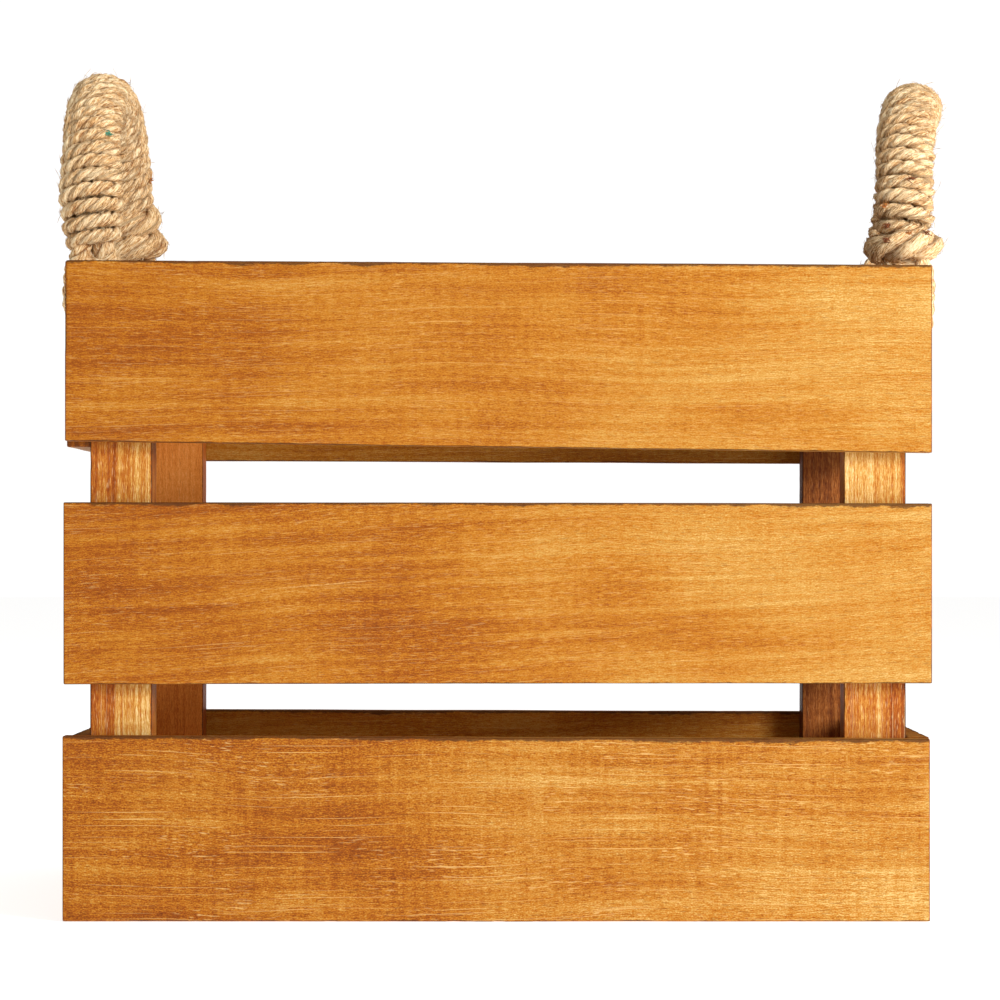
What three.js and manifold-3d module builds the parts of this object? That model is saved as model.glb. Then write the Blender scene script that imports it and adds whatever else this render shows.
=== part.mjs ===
// Wooden apple crate with two rope handles, in millimetres, +Z up.
// Origin: middle of the underside. +X runs along the crate's length, +Y from front to back.
import * as THREE from "three";
import * as BufferGeometryUtils from "three/addons/utils/BufferGeometryUtils.js";
import Module from "manifold-3d";

const wasm = await Module();
wasm.setup();

// ---- Driving dimensions ------------------------------------------------------------------

const CRATE_LENGTH = 340;
const CRATE_DEPTH = 250;
const CRATE_HEIGHT = 258;
const BOARD = 9.2; // thickness of every slat and floor board
// Along the crate's length: the posts are sawn a little unevenly.
const POST_WIDTHS = { front_left: 24.4, front_right: 24.4, back_left: 25.8, back_right: 24.4 };
const POST_DEPTH = 17.5; // along the crate's depth
const POST_DROP = 1; // how far the post tops stand below the rim

// Rough-sawn boards: each long slat has its own bottom and top height at its left and right
// end, and its own left and right end.
const FRONT_ROWS = {
  bottom: { low: [0, 0], high: [72.6, 71.4], ends: [-170.6, 169.4] },
  middle: { low: [92.9, 93.3], high: [164.3, 163.8], ends: [-170.2, 170.2] },
  top: { low: [188.3, 183.7], high: [259.2, 257.3], ends: [-169.6, 170.2] },
};
const BACK_ROWS = {
  bottom: { low: [0, 0], high: [72.2, 71.0], ends: [-170.0, 170.3] },
  middle: { low: [93.4, 92.8], high: [164.6, 164.0], ends: [-170.4, 169.8] },
  top: { low: [186.2, 184.6], high: [257.8, 258.4], ends: [-169.8, 170.0] },
};
const END_ROWS = { bottom: [0, 71.8], middle: [93.1, 164.0], top: [186.2, 258.0] };

const FLOOR_BOARD_WIDTH = 69.8;
const FLOOR_SIDE_GAP = 0.4; // clearance between the floor boards and the walls
const CLEAT_WIDTH = 18;
const CLEAT_HEIGHT = 12;

// Heights of the middles of the rows, where the staples go in.
const ROW_CENTRES = { bottom: 36, middle: 128.5, top: 222 };
const STAPLE_OFFSET = 11; // staples into long slats sit above that height, others below
const FLOOR_STAPLE_INSET = 14; // keeps the outer floor boards' staples inside the cleats

const STAPLE_CROWN = 6.4; // outer width
const STAPLE_WIRE = 1.2;
const STAPLE_BITE = 6; // how far the legs reach into the far board
const STAPLE_SINK = 0.5; // how far the crown is sunk below the surface
const FIT = 0.3; // clearance around pieces let into one another

const HANDLE_SPAN = 124; // between the two rope holes of one handle
const ROPE_HOLE = 9.4;
const EYE_ROPE = 7; // diameter of the rope that passes through the slat
const EYE_BEND = 4.3; // bend radius of that rope's centre line
const CORE_HALF = [7, 4.2]; // half width and half thickness of the doubled core rope
const WRAP_HALF = [12.3, 10.6]; // half width and half thickness over the wrapping
const EYE_TOP = 2.6; // where the eye's legs end above the rim; the rope bends about the rim
const WRAP_RISE = 5.2; // where the core and its wrapping start above the rim
const WRAP_CLEAR = 0.8; // between the core and the wrapping's inside
const EYE_CLEAR = 0.9; // between the rope and the slat's faces
const TURN_INSET = 2; // how far the heavy base turns reach into the wrapping

const EYE_SIDES = 10;
const EYE_STEPS = 22;
const CORE_SIDES = 10;
const WRAP_SIDES = 16;
const ARCH_STEPS = 28;
const TURN_STEPS = 4;
const HOLE_SIDES = 20;
const OVERSHOOT = 2; // how far a cutting shape stands out of the board it cuts
const WELD = 1e-4; // corners closer than this are one corner

// ---- Derived places ----------------------------------------------------------------------

const INSIDE_X = CRATE_LENGTH / 2 - BOARD;
const INSIDE_Y = CRATE_DEPTH / 2 - BOARD;
const SLAT_MIDDLE_X = CRATE_LENGTH / 2 - BOARD / 2;

// Each handle: how far its rope holes' centres are below the rim, the height of its arch above
// the rim, its outward lean from the slat's middle at even steps from the front foot to the rear
// foot, and the heavy turns at each foot, given by their half width, half thickness and height.
const ONE_TURN = { half: [16.1, 14.4], height: 12 };
const THREE_TURNS = { half: [16.4, 14.6], height: 36 };
const HANDLES = {
  left: {
    side: -1,
    holeDrop: 19,
    height: 79.4,
    lean: [0.2, 1.4, 2.7, 3.1, 2.4, 1.0, 0.2, -0.3, 0],
    turns: { rear: THREE_TURNS },
  },
  right: {
    side: 1,
    holeDrop: 24,
    height: 75.4,
    lean: [0.2, 0.9, 2.4, 6.6, 10.8, 11.6, 11.4, 10.2, 3.4],
    turns: { front: ONE_TURN, rear: ONE_TURN },
  },
};

// ---- Materials ---------------------------------------------------------------------------

const slatWood = new THREE.MeshStandardMaterial({ color: 0xc8812f, roughness: 0.62, metalness: 0 });
const postWood = new THREE.MeshStandardMaterial({ color: 0xd9954f, roughness: 0.68, metalness: 0 });
const floorWood = new THREE.MeshStandardMaterial({ color: 0xb87536, roughness: 0.7, metalness: 0 });
const juteRope = new THREE.MeshStandardMaterial({ color: 0xcfa574, roughness: 0.95, metalness: 0 });
const stapleWire = new THREE.MeshStandardMaterial({ color: 0xb9bcc0, roughness: 0.35, metalness: 1 });

// ---- Joining and cutting -----------------------------------------------------------------

function toSolid(geometry) {
  const plain = geometry.clone();
  plain.deleteAttribute("normal");
  plain.deleteAttribute("uv");
  const merged = BufferGeometryUtils.mergeVertices(plain, WELD);
  return new wasm.Manifold(new wasm.Mesh({
    numProp: 3,
    vertProperties: new Float32Array(merged.attributes.position.array),
    triVerts: new Uint32Array(merged.index.array),
  }));
}

function toGeometry(solid) {
  const mesh = solid.getMesh();
  const geometry = new THREE.BufferGeometry();
  geometry.setAttribute("position", new THREE.BufferAttribute(mesh.vertProperties, 3));
  geometry.setIndex(new THREE.BufferAttribute(mesh.triVerts, 1));
  geometry.computeVertexNormals();
  return geometry;
}

function cut(geometry, tools) {
  let solid = toSolid(geometry);
  for (const tool of tools) {
    solid = solid.subtract(toSolid(tool));
  }
  return toGeometry(solid);
}

function named(name, geometry, material) {
  const mesh = new THREE.Mesh(geometry, material);
  mesh.name = name;
  return mesh;
}

// ---- Basic shapes ------------------------------------------------------------------------

function span(a, b) {
  return [Math.min(a, b), Math.max(a, b)];
}

function block(x, y, z) {
  // Box between the given [low, high] pairs.
  const size = [x, y, z].map(([low, high]) => high - low);
  const geometry = new THREE.BoxGeometry(...size);
  geometry.translate((x[0] + x[1]) / 2, (y[0] + y[1]) / 2, (z[0] + z[1]) / 2);
  return geometry;
}

function longSlat(row, yLow) {
  // Sawn board along X whose four corners are given by its row.
  const outline = new THREE.Shape([
    new THREE.Vector2(row.ends[0], row.low[0]),
    new THREE.Vector2(row.ends[1], row.low[1]),
    new THREE.Vector2(row.ends[1], row.high[1]),
    new THREE.Vector2(row.ends[0], row.high[0]),
  ]);
  const geometry = new THREE.ExtrudeGeometry(outline, { depth: BOARD, bevelEnabled: false });
  geometry.rotateX(Math.PI / 2);
  geometry.translate(0, yLow + BOARD, 0);
  return geometry;
}

function ovalPoints([halfX, halfY], count) {
  const points = [];
  for (let i = 0; i < count; i += 1) {
    const angle = (2 * Math.PI * i) / count;
    points.push(new THREE.Vector2(halfX * Math.cos(angle), halfY * Math.sin(angle)));
  }
  return points;
}

// ---- Staples -----------------------------------------------------------------------------

function stapleGeometry(crown, wire, legs) {
  // U of square wire: crown along X at y = 0, legs running towards +Y.
  const half = crown / 2;
  const outline = new THREE.Shape([
    new THREE.Vector2(-half, 0),
    new THREE.Vector2(half, 0),
    new THREE.Vector2(half, legs),
    new THREE.Vector2(half - wire, legs),
    new THREE.Vector2(half - wire, wire),
    new THREE.Vector2(-half + wire, wire),
    new THREE.Vector2(-half + wire, legs),
    new THREE.Vector2(-half, legs),
  ]);
  const geometry = new THREE.ExtrudeGeometry(outline, { depth: wire, bevelEnabled: false });
  geometry.translate(0, 0, -wire / 2);
  return geometry;
}

function staplePocket(legs) {
  // The staple's own shape grown by the fit, open at the surface above the crown.
  const half = STAPLE_CROWN / 2 + FIT;
  const web = STAPLE_CROWN / 2 - STAPLE_WIRE - FIT;
  const deep = legs + FIT;
  const outline = new THREE.Shape([
    new THREE.Vector2(-half, -STAPLE_SINK - OVERSHOOT),
    new THREE.Vector2(half, -STAPLE_SINK - OVERSHOOT),
    new THREE.Vector2(half, deep),
    new THREE.Vector2(web, deep),
    new THREE.Vector2(web, STAPLE_WIRE + FIT),
    new THREE.Vector2(-web, STAPLE_WIRE + FIT),
    new THREE.Vector2(-web, deep),
    new THREE.Vector2(-half, deep),
  ]);
  const depth = STAPLE_WIRE + 2 * FIT;
  const geometry = new THREE.ExtrudeGeometry(outline, { depth, bevelEnabled: false });
  geometry.translate(0, 0, -depth / 2);
  return geometry;
}

function placed(geometry, place) {
  // Turn a staple, which points along +Y, to its direction and move it to its surface point.
  const turned = geometry.clone();
  const ahead = new THREE.Vector3(...place.into);
  const across = new THREE.Vector3(...place.crown);
  const up = new THREE.Vector3().crossVectors(across, ahead);
  turned.applyMatrix4(new THREE.Matrix4().makeBasis(across, ahead, up));
  const start = new THREE.Vector3(...place.at).addScaledVector(ahead, STAPLE_SINK);
  turned.translate(start.x, start.y, start.z);
  return turned;
}

const corners = [
  { name: "front_left", x: -1, y: -1 },
  { name: "front_right", x: 1, y: -1 },
  { name: "back_left", x: -1, y: 1 },
  { name: "back_right", x: 1, y: 1 },
];
const rowNames = ["bottom", "middle", "top"];

function wallStaples() {
  const staples = [];
  for (const corner of corners) {
    for (const row of rowNames) {
      const wall = corner.y < 0 ? "front" : "back";
      const end = corner.x < 0 ? "left" : "right";
      const postWidth = POST_WIDTHS[corner.name];
      const postMiddleX = corner.x * (INSIDE_X - postWidth / 2);
      const postMiddleY = corner.y * (INSIDE_Y - POST_DEPTH / 2);
      staples.push({
        name: `staple_${corner.name}_${row}_a`,
        legs: POST_DEPTH + STAPLE_BITE - STAPLE_SINK,
        at: [postMiddleX, corner.y * (INSIDE_Y - POST_DEPTH), ROW_CENTRES[row] + STAPLE_OFFSET],
        into: [0, corner.y, 0],
        crown: [1, 0, 0],
        boards: [`post_${corner.name}`, `${wall}_slat_${row}`],
      });
      staples.push({
        name: `staple_${corner.name}_${row}_b`,
        legs: postWidth + STAPLE_BITE - STAPLE_SINK,
        at: [corner.x * (INSIDE_X - postWidth), postMiddleY, ROW_CENTRES[row] - STAPLE_OFFSET],
        into: [corner.x, 0, 0],
        crown: [0, 1, 0],
        boards: [`post_${corner.name}`, `${end}_slat_${row}`],
      });
    }
  }
  return staples;
}

const floorNames = ["front", "middle", "back"];
const FLOOR_STEP = INSIDE_Y - FLOOR_SIDE_GAP - FLOOR_BOARD_WIDTH / 2;

function floorStaples() {
  const staples = [];
  for (const [i, place] of floorNames.entries()) {
    for (const end of [-1, 1]) {
      const endName = end < 0 ? "left" : "right";
      const y = (i - 1) * (FLOOR_STEP - FLOOR_STAPLE_INSET);
      staples.push({
        name: `staple_floor_${place}_${endName}`,
        legs: BOARD + STAPLE_BITE - STAPLE_SINK,
        at: [end * (INSIDE_X - CLEAT_WIDTH / 2), y, 0],
        into: [0, 0, 1],
        crown: [0, 1, 0],
        boards: [`floor_board_${place}`, `cleat_${endName}`],
      });
    }
  }
  return staples;
}

const staples = [...wallStaples(), ...floorStaples()];

function pocketsIn(board) {
  return staples
    .filter((staple) => staple.boards.includes(board))
    .map((staple) => placed(staplePocket(staple.legs), staple));
}

function addStaples(crate) {
  for (const staple of staples) {
    const geometry = placed(stapleGeometry(STAPLE_CROWN, STAPLE_WIRE, staple.legs), staple);
    crate.add(named(staple.name, geometry, stapleWire));
  }
}

// ---- Boards ------------------------------------------------------------------------------

function addLongSlats(crate, wall, rows, yLow) {
  for (const row of rowNames) {
    const name = `${wall}_slat_${row}`;
    const geometry = cut(longSlat(rows[row], yLow), pocketsIn(name));
    crate.add(named(name, geometry, slatWood));
  }
}

function ropeHole(handle, y) {
  const radius = ROPE_HOLE / 2;
  const length = BOARD + 2 * OVERSHOOT;
  const geometry = new THREE.CylinderGeometry(radius, radius, length, HOLE_SIDES);
  geometry.rotateZ(Math.PI / 2);
  geometry.translate(handle.side * SLAT_MIDDLE_X, y, CRATE_HEIGHT - handle.holeDrop);
  return geometry;
}

function addEndSlats(crate, end) {
  const handle = HANDLES[end];
  const side = handle.side;
  const x = span(side * INSIDE_X, (side * CRATE_LENGTH) / 2);
  for (const row of rowNames) {
    const name = `${end}_slat_${row}`;
    const tools = pocketsIn(name);
    if (row === "top") {
      tools.push(ropeHole(handle, -HANDLE_SPAN / 2), ropeHole(handle, HANDLE_SPAN / 2));
    }
    const board = block(x, [-INSIDE_Y, INSIDE_Y], END_ROWS[row]);
    crate.add(named(name, cut(board, tools), slatWood));
  }
}

function addPosts(crate) {
  for (const corner of corners) {
    const postWidth = POST_WIDTHS[corner.name];
    const x = span(corner.x * (INSIDE_X - postWidth), corner.x * INSIDE_X);
    const y = span(corner.y * (INSIDE_Y - POST_DEPTH), corner.y * INSIDE_Y);
    const name = `post_${corner.name}`;
    const post = block(x, y, [BOARD, CRATE_HEIGHT - POST_DROP]);
    crate.add(named(name, cut(post, pocketsIn(name)), postWood));
  }
}

function addFloor(crate) {
  for (const [i, place] of floorNames.entries()) {
    const name = `floor_board_${place}`;
    const middle = (i - 1) * FLOOR_STEP;
    const y = [middle - FLOOR_BOARD_WIDTH / 2, middle + FLOOR_BOARD_WIDTH / 2];
    const x = [-INSIDE_X + FLOOR_SIDE_GAP, INSIDE_X - FLOOR_SIDE_GAP];
    crate.add(named(name, cut(block(x, y, [0, BOARD]), pocketsIn(name)), floorWood));
  }
}

function addCleats(crate) {
  const reach = INSIDE_Y - POST_DEPTH - FLOOR_SIDE_GAP;
  for (const [end, side] of [["left", -1], ["right", 1]]) {
    const x = span(side * (INSIDE_X - CLEAT_WIDTH), side * INSIDE_X);
    const name = `cleat_${end}`;
    const cleat = block(x, [-reach, reach], [BOARD, BOARD + CLEAT_HEIGHT]);
    crate.add(named(name, cut(cleat, pocketsIn(name)), postWood));
  }
}

// ---- Rope handles ------------------------------------------------------------------------

class PlanarCurve extends THREE.Curve {
  // A stretch of a flat path, between two fractions of its length, carried into space.
  constructor(path, toSpace, stretch = [0, 1]) {
    super();
    this.path = path;
    this.toSpace = toSpace;
    this.stretch = stretch;
  }

  getPoint(t) {
    const [start, end] = this.stretch;
    const along = start + t * (end - start);
    return this.toSpace(this.path.getPoint(along), along);
  }

  computeFrenetFrames(segments) {
    const tangents = [];
    const normals = [];
    const binormals = [];
    for (let i = 0; i <= segments; i += 1) {
      const tangent = this.getTangentAt(i / segments);
      const normal = this.acrossFrom(tangent);
      tangents.push(tangent);
      normals.push(normal);
      binormals.push(new THREE.Vector3().crossVectors(tangent, normal));
    }
    return { tangents, normals, binormals };
  }

  acrossFrom(tangent) {
    const across = new THREE.Vector3(...this.widthAlong);
    return across.addScaledVector(tangent, -across.dot(tangent)).normalize();
  }
}

class EyeCurve extends PlanarCurve {
  // Lies across the slat, so its section is squared up by the crate's depth.
  widthAlong = [0, 1, 0];
}

class ArchCurve extends PlanarCurve {
  // Stands along the slat, so its section is squared up by the crate's length.
  widthAlong = [1, 0, 0];
}

function eyeCurve(handle, y) {
  // Down the inside of the slat, through the hole and up the outside.
  const leg = BOARD / 2 + EYE_ROPE / 2 + EYE_CLEAR;
  const holeZ = CRATE_HEIGHT - handle.holeDrop;
  const topZ = CRATE_HEIGHT + EYE_TOP;
  const bendX = leg - EYE_BEND;
  const bendZ = holeZ + EYE_BEND;
  const path = new THREE.Path();
  path.moveTo(-leg, topZ);
  path.lineTo(-leg, bendZ);
  path.absarc(-bendX, bendZ, EYE_BEND, Math.PI, 1.5 * Math.PI, false);
  path.lineTo(bendX, holeZ);
  path.absarc(bendX, bendZ, EYE_BEND, 1.5 * Math.PI, 2 * Math.PI, false);
  path.lineTo(leg, topZ);
  const toSpace = (p) => new THREE.Vector3(handle.side * (SLAT_MIDDLE_X + p.x), y, p.y);
  return new EyeCurve(path, toSpace);
}

function archLength(handle) {
  const radius = HANDLE_SPAN / 2;
  return 2 * (handle.height - radius - WRAP_RISE) + Math.PI * radius;
}

function archCurve(handle, stretch) {
  const radius = HANDLE_SPAN / 2;
  const springZ = CRATE_HEIGHT + handle.height - radius;
  const footZ = CRATE_HEIGHT + WRAP_RISE;
  const path = new THREE.Path();
  path.moveTo(-radius, footZ);
  path.lineTo(-radius, springZ);
  path.absarc(0, springZ, radius, Math.PI, 0, true);
  path.lineTo(radius, footZ);
  const lean = new THREE.SplineCurve(handle.lean.map((out, i) => new THREE.Vector2(i, out)));
  const toSpace = (p, along) => {
    const out = SLAT_MIDDLE_X + lean.getPoint(along).y;
    return new THREE.Vector3(handle.side * out, p.x, p.y);
  };
  return new ArchCurve(path, toSpace, stretch);
}

function tube(outline, curve, steps) {
  return new THREE.ExtrudeGeometry(outline, { steps, extrudePath: curve });
}

function addHandle(crate, name, handle) {
  for (const [place, y] of [["front", -HANDLE_SPAN / 2], ["rear", HANDLE_SPAN / 2]]) {
    const round = new THREE.Shape(ovalPoints([EYE_ROPE / 2, EYE_ROPE / 2], EYE_SIDES));
    const eye = tube(round, eyeCurve(handle, y), EYE_STEPS);
    crate.add(named(`rope_eye_${name}_${place}`, eye, juteRope));
  }
  const core = new THREE.Shape(ovalPoints(CORE_HALF, CORE_SIDES));
  const coreTube = tube(core, archCurve(handle, [0, 1]), ARCH_STEPS);
  crate.add(named(`handle_core_${name}`, coreTube, juteRope));
  crate.add(named(`handle_wrap_${name}`, wrapGeometry(handle), juteRope));
}

function sleeve(half, bore, curve, steps) {
  const outline = new THREE.Shape(ovalPoints(half, WRAP_SIDES));
  outline.holes.push(new THREE.Path(ovalPoints(bore, CORE_SIDES).reverse()));
  return tube(outline, curve, steps);
}

function wrapGeometry(handle) {
  // The close turns around the core, with the heavy turns at the feet joined to them.
  const bore = CORE_HALF.map((half) => half + WRAP_CLEAR);
  let solid = toSolid(sleeve(WRAP_HALF, bore, archCurve(handle, [0, 1]), ARCH_STEPS));
  for (const [place, turn] of Object.entries(handle.turns)) {
    const share = turn.height / archLength(handle);
    const stretch = place === "front" ? [0, share] : [1 - share, 1];
    const inside = bore.map((half) => half + TURN_INSET);
    solid = solid.add(toSolid(sleeve(turn.half, inside, archCurve(handle, stretch), TURN_STEPS)));
  }
  return toGeometry(solid);
}

// ---- Assembly ----------------------------------------------------------------------------

const crate = new THREE.Group();
addLongSlats(crate, "front", FRONT_ROWS, -CRATE_DEPTH / 2);
addLongSlats(crate, "back", BACK_ROWS, INSIDE_Y);
addEndSlats(crate, "left");
addEndSlats(crate, "right");
addPosts(crate);
addFloor(crate);
addCleats(crate);
addStaples(crate);
for (const [name, handle] of Object.entries(HANDLES)) {
  addHandle(crate, name, handle);
}

export default crate;
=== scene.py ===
"""A slatted wooden apple crate with jute rope handles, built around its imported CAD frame.

Every board is rebuilt with worn, slightly chipped edges and a stained-wood material that follows
its own grain, and each handle is laid up strand by strand. Metres throughout, Z up.
"""
import math

import bpy
import numpy as np
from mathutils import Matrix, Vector


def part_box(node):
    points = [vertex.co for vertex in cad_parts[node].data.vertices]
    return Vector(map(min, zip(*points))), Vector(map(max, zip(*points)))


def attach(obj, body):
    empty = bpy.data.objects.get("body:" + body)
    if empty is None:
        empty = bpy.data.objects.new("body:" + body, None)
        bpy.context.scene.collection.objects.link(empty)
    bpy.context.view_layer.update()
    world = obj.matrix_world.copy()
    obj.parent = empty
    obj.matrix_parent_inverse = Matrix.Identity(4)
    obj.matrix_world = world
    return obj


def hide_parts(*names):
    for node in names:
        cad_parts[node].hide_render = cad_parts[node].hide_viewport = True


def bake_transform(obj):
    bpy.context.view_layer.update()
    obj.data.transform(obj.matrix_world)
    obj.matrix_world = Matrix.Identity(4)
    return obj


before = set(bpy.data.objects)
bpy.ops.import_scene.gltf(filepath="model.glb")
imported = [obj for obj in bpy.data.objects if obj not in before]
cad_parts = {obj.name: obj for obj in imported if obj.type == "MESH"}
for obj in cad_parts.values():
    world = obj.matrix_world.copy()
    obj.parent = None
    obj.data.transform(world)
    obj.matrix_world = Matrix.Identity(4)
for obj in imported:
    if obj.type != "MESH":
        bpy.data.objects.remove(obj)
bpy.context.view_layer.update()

MM = 0.001

# ---- Camera, light and floor ---------------------------------------------------------------

CAMERA_PLACE = (0.0099, -1.555, 0.1475)
CAMERA_LENS = 131.4
CAMERA_SHIFT = (-0.023, 0.045)
SEEN = 1.05  # strength of the backdrop as the camera sees it
AMBIENT = 0.34  # as matt surfaces see it
MIRRORED = 0.05  # as glossy ones see it, dim so that narrow edges don't turn grey
FLOOR_RADIUS = 9.0  # metres
FLOOR_DROP = 0.3  # millimetres below the crate's underside, so that the two don't coincide
FLOOR_GLOW = 0.7


def add_camera():
    data = bpy.data.cameras.new("camera")
    data.lens = CAMERA_LENS
    data.sensor_width = 36
    data.shift_x, data.shift_y = CAMERA_SHIFT
    data.clip_end = 60
    camera = bpy.data.objects.new("camera", data)
    camera.location = CAMERA_PLACE
    camera.rotation_euler = (math.pi / 2, 0, 0)
    bpy.context.scene.collection.objects.link(camera)
    bpy.context.scene.camera = camera


def add_area_light(name, place, target, size, power, colour):
    data = bpy.data.lights.new(name, "AREA")
    data.shape = "RECTANGLE"
    data.size, data.size_y = size
    data.energy = power
    data.color = colour
    light = bpy.data.objects.new(name, data)
    light.location = place
    ahead = Vector(target) - Vector(place)
    light.rotation_mode = "QUATERNION"
    light.rotation_quaternion = ahead.to_track_quat("-Z", "Y")
    bpy.context.scene.collection.objects.link(light)


def add_backdrop(nodes, colour, strength):
    made = nodes.new("ShaderNodeBackground")
    made.inputs["Color"].default_value = (*colour, 1)
    made.inputs["Strength"].default_value = strength
    return made.outputs[0]


def add_world():
    """A white backdrop that lights matt surfaces softly and glossy ones hardly at all."""
    world = bpy.data.worlds.new("studio")
    world.use_nodes = True
    nodes, links = world.node_tree.nodes, world.node_tree.links
    nodes.clear()
    output = nodes.new("ShaderNodeOutputWorld")
    seen = add_backdrop(nodes, (1, 1, 1), SEEN)
    shed = add_backdrop(nodes, (1, 0.985, 0.96), AMBIENT)
    mirrored = add_backdrop(nodes, (1, 0.97, 0.93), MIRRORED)
    path = nodes.new("ShaderNodeLightPath")
    unseen = nodes.new("ShaderNodeMixShader")
    links.new(path.outputs["Is Glossy Ray"], unseen.inputs["Fac"])
    links.new(shed, unseen.inputs[1])
    links.new(mirrored, unseen.inputs[2])
    mix = nodes.new("ShaderNodeMixShader")
    links.new(path.outputs["Is Camera Ray"], mix.inputs["Fac"])
    links.new(unseen.outputs[0], mix.inputs[1])
    links.new(seen, mix.inputs[2])
    links.new(mix.outputs[0], output.inputs["Surface"])
    bpy.context.scene.world = world


def add_studio():
    add_world()
    middle = (0, 0, 0.13)
    add_area_light("key", (1.75, -1.75, 0.85), middle, (0.8, 0.8), 60, (1, 0.985, 0.96))
    add_area_light("side", (0.95, -0.95, 0.40), (0.17, -0.1, 0.13), (0.6, 0.6), 4.5, (1, 0.98, 0.95))
    add_area_light("top", (0.1, -0.1, 2.2), middle, (1.4, 1.4), 9, (1, 1, 1))
    scene = bpy.context.scene
    scene.view_settings.view_transform = "Standard"
    scene.view_settings.look = "None"


def add_floor():
    ring = [(FLOOR_RADIUS * math.cos(a), FLOOR_RADIUS * math.sin(a), -FLOOR_DROP * MM)
            for a in np.linspace(0, 2 * math.pi, 96, endpoint=False)]
    mesh = bpy.data.meshes.new("floor")
    mesh.from_pydata(ring, [], [list(range(len(ring)))])
    floor = bpy.data.objects.new("floor", mesh)
    bpy.context.scene.collection.objects.link(floor)
    graph = Graph("pale_floor")
    grain = graph.noise(graph.node("ShaderNodeTexCoord").outputs["Object"], 900, 2, 0.5)
    shade = graph.ramp(grain, [(0.3, (0.93, 0.93, 0.925)), (0.7, (0.96, 0.96, 0.955))])
    graph.finish(shade, roughness=0.75, Emission_Color=(1, 1, 1, 1), Emission_Strength=FLOOR_GLOW)
    mesh.materials.append(graph.material)


# ---- Building materials from nodes ---------------------------------------------------------

class Graph:
    """A material's node tree, with short calls for the nodes that the materials below use."""

    def __init__(self, name):
        self.material = bpy.data.materials.new(name)
        self.material.use_nodes = True
        self.tree = self.material.node_tree
        self.tree.nodes.clear()

    def node(self, kind, **settings):
        made = self.tree.nodes.new(kind)
        for key, value in settings.items():
            setattr(made, key, value)
        return made

    def feed(self, socket, value):
        if isinstance(value, bpy.types.NodeSocket):
            self.tree.links.new(value, socket)
        else:
            socket.default_value = value

    def attribute(self, name):
        return self.node("ShaderNodeAttribute", attribute_name=name)

    def math(self, operation, a, b=0.0):
        made = self.node("ShaderNodeMath", operation=operation)
        self.feed(made.inputs[0], a)
        self.feed(made.inputs[1], b)
        return made.outputs[0]

    def centred(self, value):
        return self.math("SUBTRACT", value, 0.5)

    def scaled(self, vector, scale, shift=(0, 0, 0)):
        made = self.node("ShaderNodeMapping")
        self.feed(made.inputs["Vector"], vector)
        made.inputs["Scale"].default_value = scale
        made.inputs["Location"].default_value = shift
        return made.outputs[0]

    def split(self, vector):
        made = self.node("ShaderNodeSeparateXYZ")
        self.feed(made.inputs[0], vector)
        return made.outputs

    def join(self, x, y, z):
        made = self.node("ShaderNodeCombineXYZ")
        for socket, value in zip(made.inputs, (x, y, z)):
            self.feed(socket, value)
        return made.outputs[0]

    def noise(self, vector, scale, detail, roughness, distortion=0.0):
        made = self.node("ShaderNodeTexNoise", noise_dimensions="3D")
        self.feed(made.inputs["Vector"], vector)
        made.inputs["Scale"].default_value = scale
        made.inputs["Detail"].default_value = detail
        made.inputs["Roughness"].default_value = roughness
        made.inputs["Distortion"].default_value = distortion
        return made.outputs["Fac"]

    def between(self, value, low, high, to_low=0.0, to_high=1.0):
        made = self.node("ShaderNodeMapRange", interpolation_type="SMOOTHSTEP")
        self.feed(made.inputs["Value"], value)
        made.inputs["From Min"].default_value = low
        made.inputs["From Max"].default_value = high
        made.inputs["To Min"].default_value = to_low
        made.inputs["To Max"].default_value = to_high
        return made.outputs[0]

    def ramp(self, value, stops):
        made = self.node("ShaderNodeValToRGB")
        self.feed(made.inputs[0], value)
        elements = made.color_ramp.elements
        while len(elements) < len(stops):
            elements.new(0.5)
        for element, (place, colour) in zip(elements, stops):
            element.position = place
            element.color = (*colour, 1)
        return made.outputs[0]

    def mix(self, factor, a, b, blend="MIX"):
        made = self.node("ShaderNodeMix", data_type="RGBA", blend_type=blend)
        self.feed(made.inputs["Factor"], factor)
        self.feed(made.inputs[6], a if isinstance(a, bpy.types.NodeSocket) else (*a, 1))
        self.feed(made.inputs[7], b if isinstance(b, bpy.types.NodeSocket) else (*b, 1))
        return made.outputs[2]

    def bump(self, height, strength, distance):
        made = self.node("ShaderNodeBump")
        self.feed(made.inputs["Height"], height)
        made.inputs["Strength"].default_value = strength
        made.inputs["Distance"].default_value = distance
        return made.outputs[0]

    def finish(self, colour, roughness, normal=None, **constants):
        shader = self.node("ShaderNodeBsdfPrincipled")
        self.feed(shader.inputs["Base Color"], colour)
        self.feed(shader.inputs["Roughness"], roughness)
        if normal is not None:
            self.feed(shader.inputs["Normal"], normal)
        for name, value in constants.items():
            shader.inputs[name.replace("_", " ")].default_value = value
        output = self.node("ShaderNodeOutputMaterial")
        self.tree.links.new(shader.outputs[0], output.inputs["Surface"])


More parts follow.
